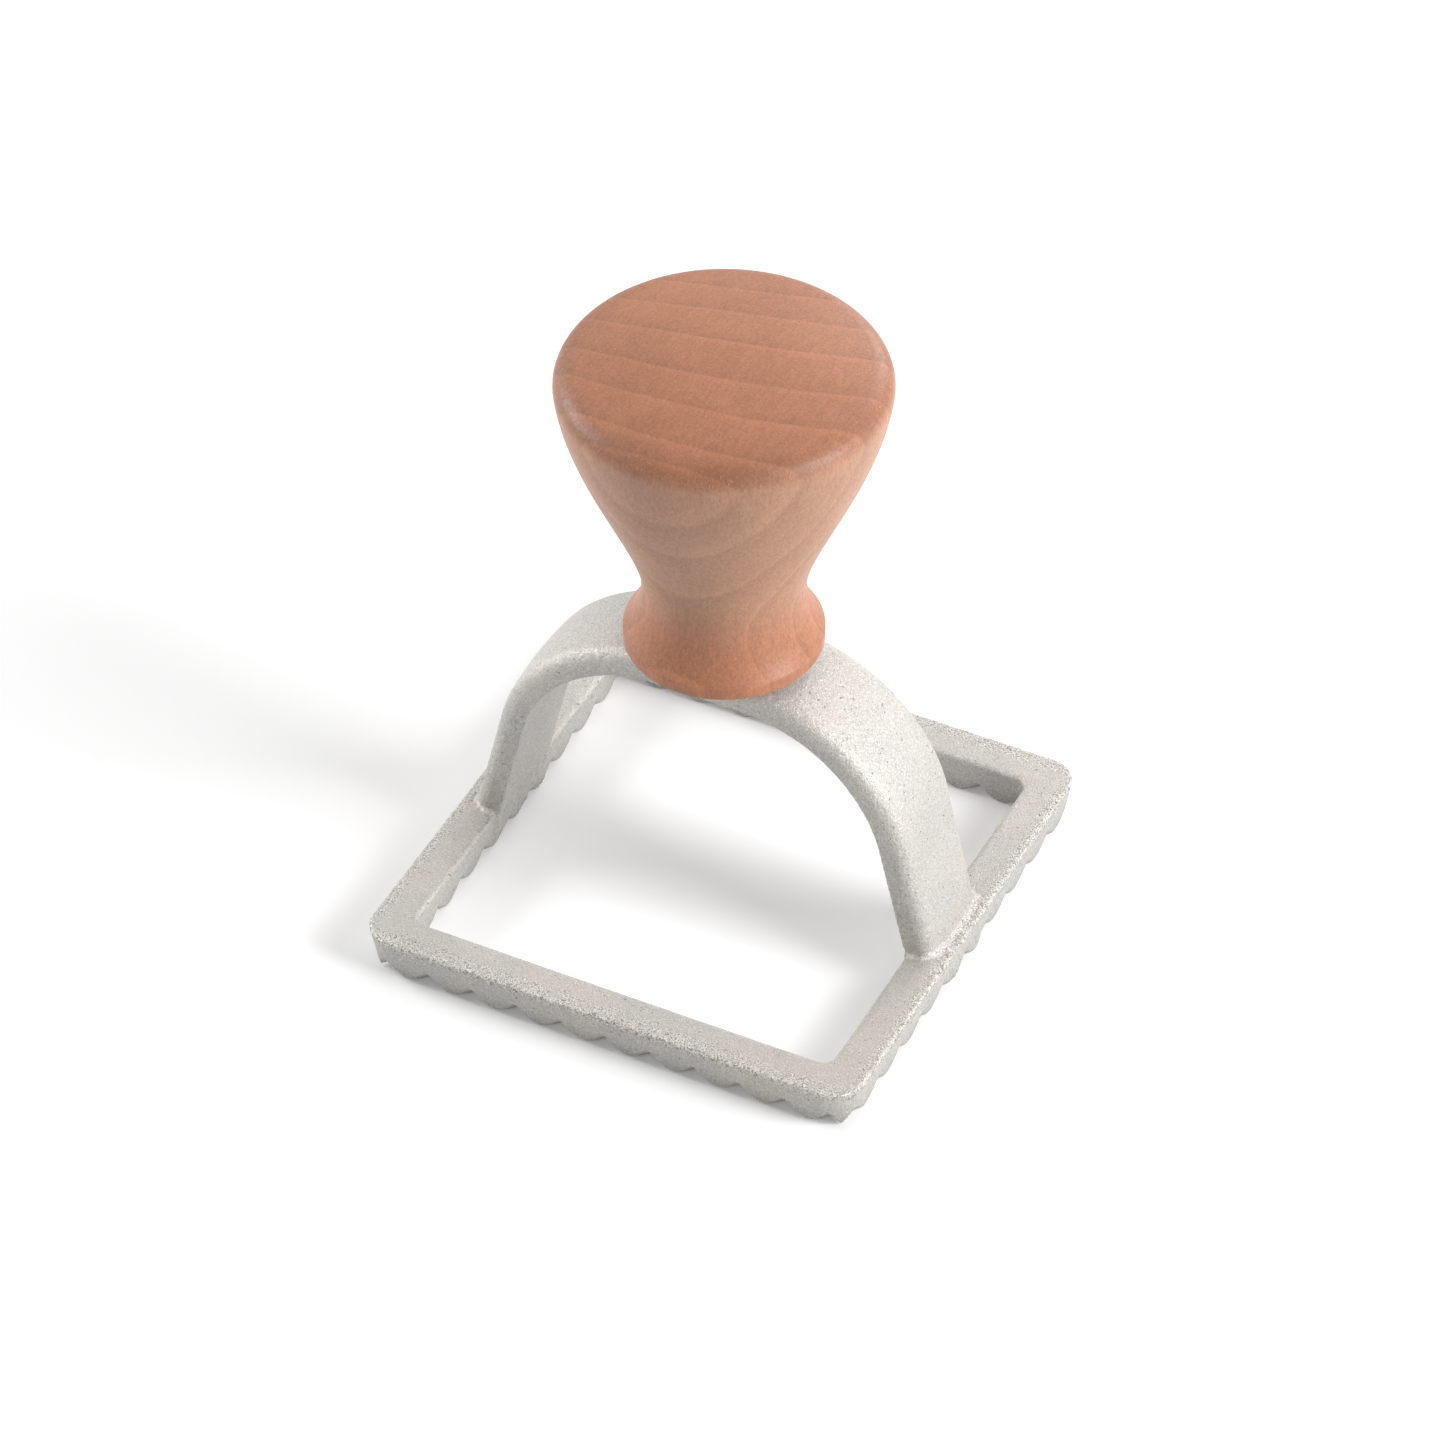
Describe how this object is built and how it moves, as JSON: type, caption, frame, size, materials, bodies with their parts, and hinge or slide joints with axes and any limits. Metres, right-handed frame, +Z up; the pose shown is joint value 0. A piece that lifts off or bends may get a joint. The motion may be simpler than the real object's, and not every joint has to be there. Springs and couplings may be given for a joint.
{
  "type": "ravioli stamp",
  "caption": "Square wavy-edged pasta cutter with a low arch across it and a turned, flaring wooden knob held on top by a screw.",
  "frame": {"origin": "middle of the square, on the plane that the cutting edge rests on", "axes": "+Z up through the knob, +X towards the foot of one leg of the arch, +Y across the arch"},
  "size_m": [0.074, 0.074, 0.0944],
  "materials": {
    "cast_metal": "as-cast, fine grain",
    "wood": "satin lacquer",
    "screw_steel": "satin"
  },
  "bodies": {
    "root": {"casting": "cast_metal", "knob": "wood", "knob_screw": "screw_steel"}
  },
  "joints": []
}
